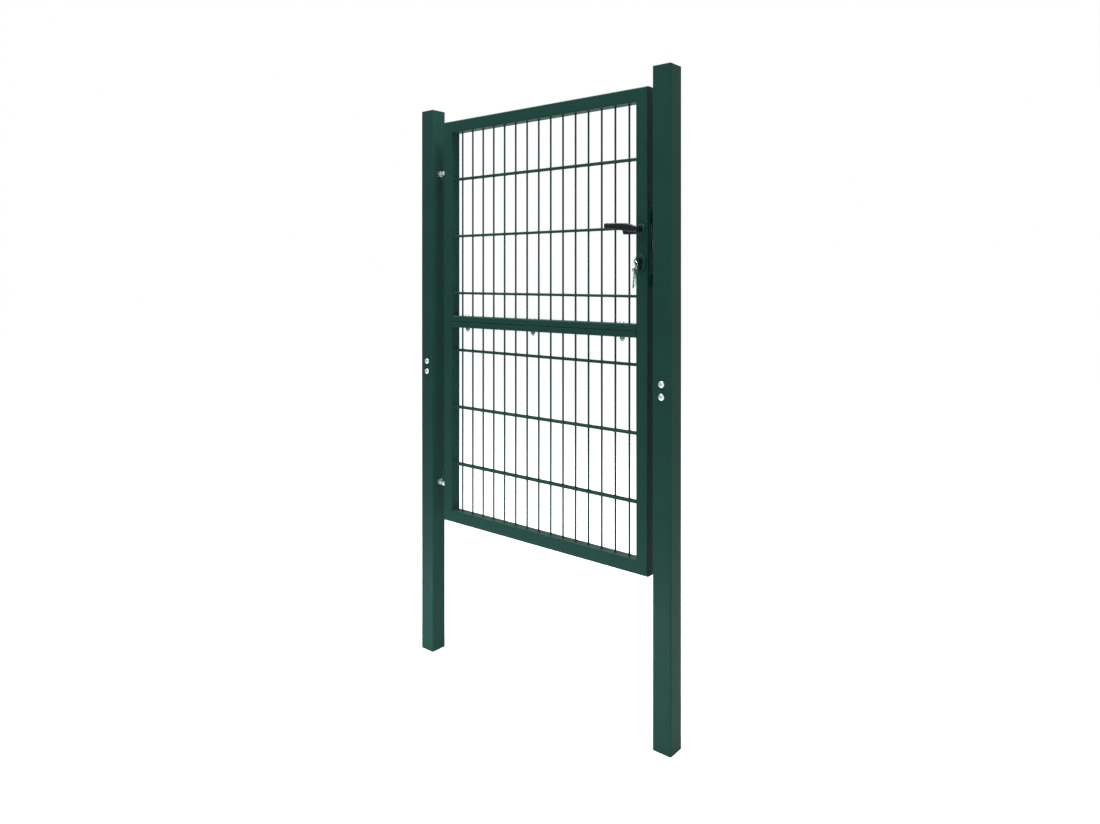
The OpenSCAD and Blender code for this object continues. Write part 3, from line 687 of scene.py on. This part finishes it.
# how much wider and higher than the cylinder its cut-out is
CUTOUT_EASE = (1.035, 1, 1.02)
rose_lo, rose_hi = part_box("front_handle_rose")
rose_r = (rose_hi.x - rose_lo.x) / 2
rose_t = rose_hi.y - rose_lo.y
spindle_z = (rose_lo.z + rose_hi.z) / 2
long_lo, long_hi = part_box("front_cylinder_rose")
for side, place in ((-1, "front"), (1, "rear")):
    stile_y = rose_hi.y * -side
    turn = (-90 * side, 0, 0)
    rose = turned([
        (rose_r - 0.3 * mm, 0), (rose_r, 0.3 * mm), (rose_r, rose_t - 3 * mm),
        (rose_r - 0.6 * mm, rose_t - 1.4 * mm), (rose_r - 2 * mm, rose_t - 0.4 * mm),
        (rose_r - 3.5 * mm, rose_t - 0.2 * mm), (NECK_R + 3 * mm, rose_t - 0.2 * mm),
        (NECK_R + 2.4 * mm, rose_t), (NECK_R + 0.6 * mm, rose_t), (NECK_R + 0.3 * mm, rose_t - 0.4 * mm),
        (NECK_R + 0.3 * mm, 0.5 * mm)], ROSE_SIDES)
    settle(rose, (lock_x, stile_y, spindle_z), turn)
    fit(rose, place + "_pressed_handle_rose", "leaf", green, "green_powder_coat", place + "_handle_rose")

    bpy.ops.object.select_all(action="DESELECT")
    bpy.ops.mesh.primitive_cylinder_add(vertices=ROSE_SIDES, radius=rose_r, depth=rose_t)
    long_rose = settle(bpy.context.object, (0, 0, rose_t / 2), (0, 0, 180 / ROSE_SIDES))
    stretch = (long_hi.z - long_lo.z) / 2 - rose_r
    for half in (-1, 1):
        pick(long_rose, "EDGE", lambda edge, ends: min(e.y * half for e in ends) > 0)
        bpy.ops.transform.translate(value=(0, half * stretch, 0))
    pick(long_rose, "EDGE", lambda edge, ends: min(e.z for e in ends) > rose_t - 0.1 * mm)
    bpy.ops.mesh.bevel(offset=ROSE_EDGE, segments=4, affect="EDGES")
    bpy.ops.object.mode_set(mode="OBJECT")
    settle(long_rose, (lock_x, stile_y, (long_lo.z + long_hi.z) / 2), turn)
    slot_tool = softened("lock_cylinder", 0.05 * mm, 1)
    edit_all(slot_tool)
    bpy.ops.transform.resize(
        value=CUTOUT_EASE, center_override=(lock_x, 0, (cylinder_lo.z + cylinder_hi.z) / 2))
    bpy.ops.object.mode_set(mode="OBJECT")
    cut(long_rose, slot_tool)
    fit(long_rose, place + "_pressed_cylinder_rose", "leaf", green, "green_powder_coat",
        place + "_cylinder_rose")

# ---------------------------------------------------------------------------------------------------
# Levers. Black nylon moulded over steel: a round neck out of the rose, and a flat grip with soft
# edges, thick at its bend and squared off at the tip. The rear one hangs a little, from wear.

GRIP_T = 14 * mm
GRIP_EDGE = 4 * mm
BLANK_H = 18.0
REAR_DROOP = 7.5
# Cross sections of the grip from the bend to the tip, in mm from the spindle: place along the lever,
# upper edge, lower edge, and the share of the full thickness.
SECTIONS = [
    (8.6, 3.0, -3.0, 0.90), (7.5, 5.0, -5.0, 1.0), (5.5, 7.1, -7.1, 1.0), (2.5, 8.5, -8.5, 1.0),
    (-2, 8.9, -8.9, 1.0), (-7, 10.2, -8.8, 1.0), (-13, 12.8, -8.2, 1.0), (-19, 15.0, -7.2, 1.0),
    (-25, 16.5, -6.6, 1.0), (-32, 17.3, -5.6, 1.0), (-42, 17.9, -4.2, 1.0), (-60, 18.8, -1.8, 1.0),
    (-80, 19.5, 1.0, 1.0), (-95, 19.8, 3.1, 1.0), (-103, 19.8, 4.3, 1.0), (-106, 19.4, 5.0, 0.97),
    (-107.4, 18.5, 6.2, 0.90), (-108, 17.0, 8.0, 0.78)]


def black_nylon():
    """Glass-filled nylon from a grained mould: near black, satin, with a fine even grain.
    The grain is drawn several times coarser than the real one, so that it shows."""
    material, tree = new_material("black_glass_filled_nylon")
    place = add_node(tree, "ShaderNodeTexCoord", {}).outputs["Object"]
    grain = add_node(tree, "ShaderNodeTexNoise", {
        "Vector": place, "Scale": 1 / (0.5 * mm), "Detail": 3.0})
    flow = add_node(tree, "ShaderNodeTexNoise", {
        "Vector": place, "Scale": 1 / (18 * mm), "Detail": 2.0})
    colour = add_node(tree, "ShaderNodeMix", {
        "Factor": flow.outputs["Fac"], 6: linear("#070B0E"), 7: linear("#0D1215")}, data_type="RGBA")
    gloss = add_node(tree, "ShaderNodeMapRange", {
        "Value": grain.outputs["Fac"], "From Min": 0.3, "From Max": 0.7, "To Min": 0.3, "To Max": 0.42})
    relief = add_node(tree, "ShaderNodeBump", {
        "Height": grain.outputs["Fac"], "Strength": 0.35, "Distance": 0.05 * mm})
    skin = add_node(tree, "ShaderNodeBsdfPrincipled", {
        "Base Color": colour.outputs[2], "Roughness": gloss.outputs["Result"],
        "Normal": relief.outputs["Normal"], "IOR": 1.5, "Specular IOR Level": 0.15})
    add_node(tree, "ShaderNodeOutputMaterial", {"Surface": skin.outputs["BSDF"]})
    return material


black = black_nylon()
grip_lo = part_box("front_lever")[0]
grip_y = grip_lo.y + GRIP_T / 2
bpy.ops.object.select_all(action="DESELECT")
bpy.ops.mesh.primitive_plane_add(size=1)
grip = settle(bpy.context.object, turn=(0, -90, 0))
x, upper, lower, share = SECTIONS[0]
edit_all(grip)
bpy.ops.transform.resize(value=(1, GRIP_T, BLANK_H * mm), center_override=(0, 0, 0))
bpy.ops.mesh.bevel(offset=GRIP_EDGE, segments=5, affect="VERTICES")
bpy.ops.transform.translate(value=(lock_x + x * mm, grip_y, spindle_z + (upper + lower) / 2 * mm))
height, thickness = BLANK_H, 1.0
for i, (next_x, next_upper, next_lower, next_share) in enumerate(SECTIONS):
    if i:
        rise = (next_upper + next_lower - upper - lower) / 2
        bpy.ops.mesh.extrude_region_move(
            TRANSFORM_OT_translate={"value": ((next_x - x) * mm, 0, rise * mm)})
    x, upper, lower = next_x, next_upper, next_lower
    middle = (lock_x + x * mm, grip_y, spindle_z + (upper + lower) / 2 * mm)
    bpy.ops.transform.resize(
        value=(1, next_share / thickness, (upper - lower) / height), center_override=middle)
    height, thickness = upper - lower, next_share
face_out()
neck_len = rose_hi.y + mm - (grip_lo.y + GRIP_T)
neck = turned([
    (NECK_R, 0), (NECK_R, neck_len - 6 * mm), (NECK_R + 0.2 * mm, neck_len - 3 * mm),
    (NECK_R + 0.6 * mm, neck_len + 0.3 * mm), (NECK_R - mm, neck_len + 4 * mm)], 40)
cut(grip, settle(neck, (lock_x, rose_hi.y + mm, spindle_z), (90, 0, 0)), "UNION")
rear_grip = twin_of(grip)
only(rear_grip)
rear_grip.scale = (1, -1, 1)
bpy.ops.object.transform_apply(location=True, rotation=True, scale=True)
edit_all(rear_grip)
face_out()
settle(rear_grip, (-lock_x, 0, -spindle_z))
settle(rear_grip, (lock_x, 0, spindle_z), (0, -REAR_DROOP, 0))
fit(grip, "front_moulded_lever", "handle", black, "black_plastic", "front_lever")
fit(rear_grip, "rear_moulded_lever", "handle", black, "black_plastic", "rear_lever")

# ---------------------------------------------------------------------------------------------------
# Keys. Stamped brass blanks, milled and nickel plated: one in the cylinder, and two more that hang
# from its bow on a split ring of spring wire wound twice round.

KEY_T = 2.2 * mm
BOW_R = 12 * mm
BOW_HOLE_R = 3.5 * mm
BLADE_W = 8 * mm
PLAIN_STEM = 8 * mm
BLADE_IN_PLUG = 8 * mm
GROOVE_W = 1.4 * mm
GROOVE_DEPTH = 0.4 * mm
RAMP = 0.55
FAN = 7
RING_TURN = 675
STRAND = 0.62
STRAND_OFFSET = 0.38
# widths of the blade at its cuts, from the stem to the tip, in mm
CUTS = [8, 5.6, 7.2, 5.0, 6.6, 5.4, 7.6, 6.0, 4.4]


def nickel_plate():
    """Nickel on brass or steel: smooth and bright, with fine handling scratches along the blade.
    The scratches are drawn coarser than the real ones, so that they show."""
    material, tree = new_material("nickel_plate")
    place = add_node(tree, "ShaderNodeTexCoord", {}).outputs["Object"]
    stretch = add_node(tree, "ShaderNodeMapping", {"Vector": place, "Scale": (1, 1, 0.08)})
    scratch = add_node(tree, "ShaderNodeTexNoise", {
        "Vector": stretch.outputs["Vector"], "Scale": 1 / (0.5 * mm), "Detail": 3.0})
    colour = add_node(tree, "ShaderNodeMix", {
        # Both colours are tinted green: painted reflection of the green gate around the keys and ring.
        "Factor": scratch.outputs["Fac"], 6: linear("#8DA198"), 7: linear("#B4C6BD")}, data_type="RGBA")
    gloss = add_node(tree, "ShaderNodeMapRange", {
        "Value": scratch.outputs["Fac"], "From Min": 0.3, "From Max": 0.7,
        "To Min": 0.18, "To Max": 0.34})
    relief = add_node(tree, "ShaderNodeBump", {
        "Height": scratch.outputs["Fac"], "Strength": 0.2, "Distance": 0.02 * mm})
    skin = add_node(tree, "ShaderNodeBsdfPrincipled", {
        "Base Color": colour.outputs[2], "Metallic": 1.0, "Roughness": gloss.outputs["Result"],
        "Normal": relief.outputs["Normal"]})
    add_node(tree, "ShaderNodeOutputMaterial", {"Surface": skin.outputs["BSDF"]})
    return material


nickel = nickel_plate()


def key(length):
    """A key in the plane of X and Y, its bow's hole on the origin and its blade down along -Y."""
    bow_y = BOW_HOLE_R * 2 - BOW_R
    bow = turned([(BOW_R, -KEY_T / 2), (BOW_R, KEY_T / 2)], 48)
    settle(bow, (0, bow_y, 0))
    top = bow_y - BOW_R + mm
    blade = block((BLADE_W, 2 * mm, KEY_T), (0, top - mm, 0))
    pick(blade, "FACE", lambda face, corners: face.normal.y < -0.9)
    width, y = BLADE_W, top - 2 * mm
    end = BOW_HOLE_R * 2 - length
    step = (y - PLAIN_STEM - end) / len(CUTS)
    bpy.ops.mesh.extrude_region_move(TRANSFORM_OT_translate={"value": (0, -PLAIN_STEM, 0)})
    for next_width in CUTS:
        narrowing = next_width * mm / width
        bpy.ops.mesh.extrude_region_move(TRANSFORM_OT_translate={"value": (0, -step * RAMP, 0)})
        bpy.ops.transform.resize(value=(narrowing, 1, 1), center_override=(-BLADE_W / 2, 0, 0))
        width = next_width * mm
        bpy.ops.mesh.extrude_region_move(TRANSFORM_OT_translate={"value": (0, -step * (1 - RAMP), 0)})
    bpy.ops.object.mode_set(mode="OBJECT")
    for side in (-1, 1):
        groove = (-BLADE_W / 5, top - 3 * mm - length / 2, side * KEY_T / 2)
        cut(blade, block((GROOVE_W, length, 2 * GROOVE_DEPTH), groove))
    cut(bow, blade, "UNION")
    cut(bow, turned([(BOW_HOLE_R, -KEY_T), (BOW_HOLE_R, KEY_T)], 32))
    rounding = bow.modifiers.new("broken edges", "BEVEL")
    rounding.width = 0.25 * mm
    rounding.limit_method = "ANGLE"
    rounding.angle_limit = math.radians(50)
    only(bow)
    bpy.ops.object.modifier_apply(modifier=rounding.name)
    return bow


ring_lo, ring_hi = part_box("key_ring")
spare_lo, spare_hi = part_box("spare_keys")
key_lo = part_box("lock_key")[0]
ring_y = (ring_lo.y + ring_hi.y) / 2
ring_z = (ring_lo.z + ring_hi.z) / 2
wire_r = (ring_hi.y - ring_lo.y) / 2
ring_r = (ring_hi.x - ring_lo.x) / 2 - wire_r
spare_z = spare_hi.z - 2 * BOW_HOLE_R
spare_len = spare_hi.z - spare_lo.z
in_lock = key(cylinder_lo.y - key_lo.y + BLADE_IN_PLUG)
settle(in_lock, (0, 0, 0), (0, 90, 0))
settle(in_lock, (lock_x, key_lo.y + 2 * BOW_HOLE_R, cylinder_z), (180, 0, 0))
fit(in_lock, "key_in_cylinder", "leaf", nickel, "nickel_plated", "lock_key")
spare = settle(key(spare_len), turn=(90, 0, 0))
settle(spare, turn=(0, 0, 90))
gap = (spare_hi.x - spare_lo.x - KEY_T) / 2
fanned = []
for side in (-1, 1):
    leaning = settle(twin_of(spare), turn=(side * FAN, 0, 0))
    fanned.append(settle(leaning, (lock_x + side * gap, ring_y, spare_z)))
bpy.data.objects.remove(spare)
spares = joined(fanned)
fit(spares, "two_spare_keys", "leaf", nickel, "nickel_plated", "spare_keys")

bpy.ops.object.select_all(action="DESELECT")
bpy.ops.mesh.primitive_circle_add(vertices=10, radius=wire_r * STRAND, fill_type="NOTHING")
coil = settle(bpy.context.object, (ring_r, 0, 0), (90, 0, 0))
winding = coil.modifiers.new("two turns", "SCREW")
winding.axis = "Z"
winding.angle = math.radians(RING_TURN)
winding.screw_offset = wire_r * 2 * STRAND_OFFSET
winding.steps = winding.render_steps = 90
only(coil)
bpy.ops.object.modifier_apply(modifier=winding.name)
edit_all(coil)
bpy.ops.mesh.fill_holes(sides=0)
face_out()
settle(coil, (0, 0, -wire_r * STRAND_OFFSET))
settle(coil, (lock_x, ring_y, ring_z), (90, 0, 0))
fit(coil, "split_key_ring", "leaf", nickel, "nickel_plated", "key_ring")

# ---------------------------------------------------------------------------------------------------
# Stage. A pale matt floor under the feet of the posts and a plain white surround. Both are white to
# the camera and in metal, and light the gate at a plain level. The floor keeps the gate's shadow.

FLOOR_SIZE = 40
FLOOR_LIFT = 0.70
ROOM_LEVEL = 0.48
foot_z = cad_box[0][2]
bpy.ops.object.select_all(action="DESELECT")
bpy.ops.mesh.primitive_plane_add(size=FLOOR_SIZE, location=(0.5, 0, foot_z))
floor = bpy.context.object
floor.name = "studio_floor"
floor_material, tree = new_material("pale_studio_floor")
rays = add_node(tree, "ShaderNodeLightPath", {})
seen = add_node(tree, "ShaderNodeMath", {
    0: rays.outputs["Is Camera Ray"], 1: rays.outputs["Is Glossy Ray"]}, operation="MAXIMUM")
matt = add_node(tree, "ShaderNodeBsdfDiffuse", {"Color": linear("#D8DAD9")})
lift = add_node(tree, "ShaderNodeEmission", {"Color": linear("#FFFFFF"), "Strength": FLOOR_LIFT})
lit = add_node(tree, "ShaderNodeAddShader", {0: matt.outputs["BSDF"], 1: lift.outputs["Emission"]})
floor_mix = add_node(tree, "ShaderNodeMixShader", {
    0: seen.outputs[0], 1: matt.outputs["BSDF"], 2: lit.outputs["Shader"]})
add_node(tree, "ShaderNodeOutputMaterial", {"Surface": floor_mix.outputs["Shader"]})
floor.data.materials.append(floor_material)

world = bpy.data.worlds.new("white_studio")
world.use_nodes = True
tree = world.node_tree
tree.nodes.clear()
rays = add_node(tree, "ShaderNodeLightPath", {})
seen = add_node(tree, "ShaderNodeMath", {
    0: rays.outputs["Is Camera Ray"], 1: rays.outputs["Is Glossy Ray"]}, operation="MAXIMUM")
seen = add_node(tree, "ShaderNodeMath", {
    0: seen.outputs[0], 1: rays.outputs["Is Transmission Ray"]}, operation="MAXIMUM")
dim = add_node(tree, "ShaderNodeBackground", {"Color": linear("#F4F6F8"), "Strength": ROOM_LEVEL})
white = add_node(tree, "ShaderNodeBackground", {"Color": linear("#FFFFFF"), "Strength": 1.0})
surround = add_node(tree, "ShaderNodeMixShader", {
    0: seen.outputs[0], 1: dim.outputs["Background"], 2: white.outputs["Background"]})
add_node(tree, "ShaderNodeOutputWorld", {"Surface": surround.outputs["Shader"]})
bpy.context.scene.world = world

# ---------------------------------------------------------------------------------------------------
# Lamps and camera. Softboxes over, beside and behind the gate, and a low one that lifts the feet of
# the posts. The camera stands level at waist height off the latch side, with its frame shifted down.

LENS = 25.96
SENSOR = 36
FRAME_SHIFT = -0.1224
CAMERA_PLACE = (2.1896, -1.9471, 0.8993)
CAMERA_TURN = (90, 0, 39.6)
leaf_middle = (0.52, 0, 0.6)
gate_foot = (0.52, 0, -0.2)


def softbox(name, place, target, size, power):
    """A rectangular area lamp, in metres and watts, aimed at a point."""
    lamp = bpy.data.lights.new(name, "AREA")
    lamp.shape = "RECTANGLE"
    lamp.size, lamp.size_y = size
    lamp.energy = power
    box = bpy.data.objects.new(name, lamp)
    box.visible_camera = False
    box.location = place
    box.rotation_euler = (Vector(target) - Vector(place)).to_track_quat("-Z", "Y").to_euler()
    bpy.context.scene.collection.objects.link(box)


softbox("tall_softbox", (2.8, -2.9, 1.0), (0.52, 0, 0.8), (0.5, 2.6), 24)
softbox("upper_softbox", (-0.2, -1.6, 3.3), leaf_middle, (1.6, 0.9), 34)
softbox("right_softbox", (4.2, -1.0, 0.5), gate_foot, (2.0, 2.0), 15)
softbox("top_softbox", (0.52, -0.1, 3.4), gate_foot, (2.6, 0.7), 250)
softbox("rear_softbox", (0.2, 3.0, 1.8), leaf_middle, (2.4, 2.0), 36)
softbox("floor_softbox", (0.25, -0.6, -0.4), (0.3, 0, -0.44), (1.5, 0.08), 6)

camera_data = bpy.data.cameras.new("camera")
camera_data.lens = LENS
camera_data.sensor_width = SENSOR
camera_data.shift_y = FRAME_SHIFT
camera = bpy.data.objects.new("camera", camera_data)
camera.location = CAMERA_PLACE
camera.rotation_euler = [math.radians(a) for a in CAMERA_TURN]
bpy.context.scene.collection.objects.link(camera)
bpy.context.scene.camera = camera
bpy.context.scene.view_settings.view_transform = "Standard"
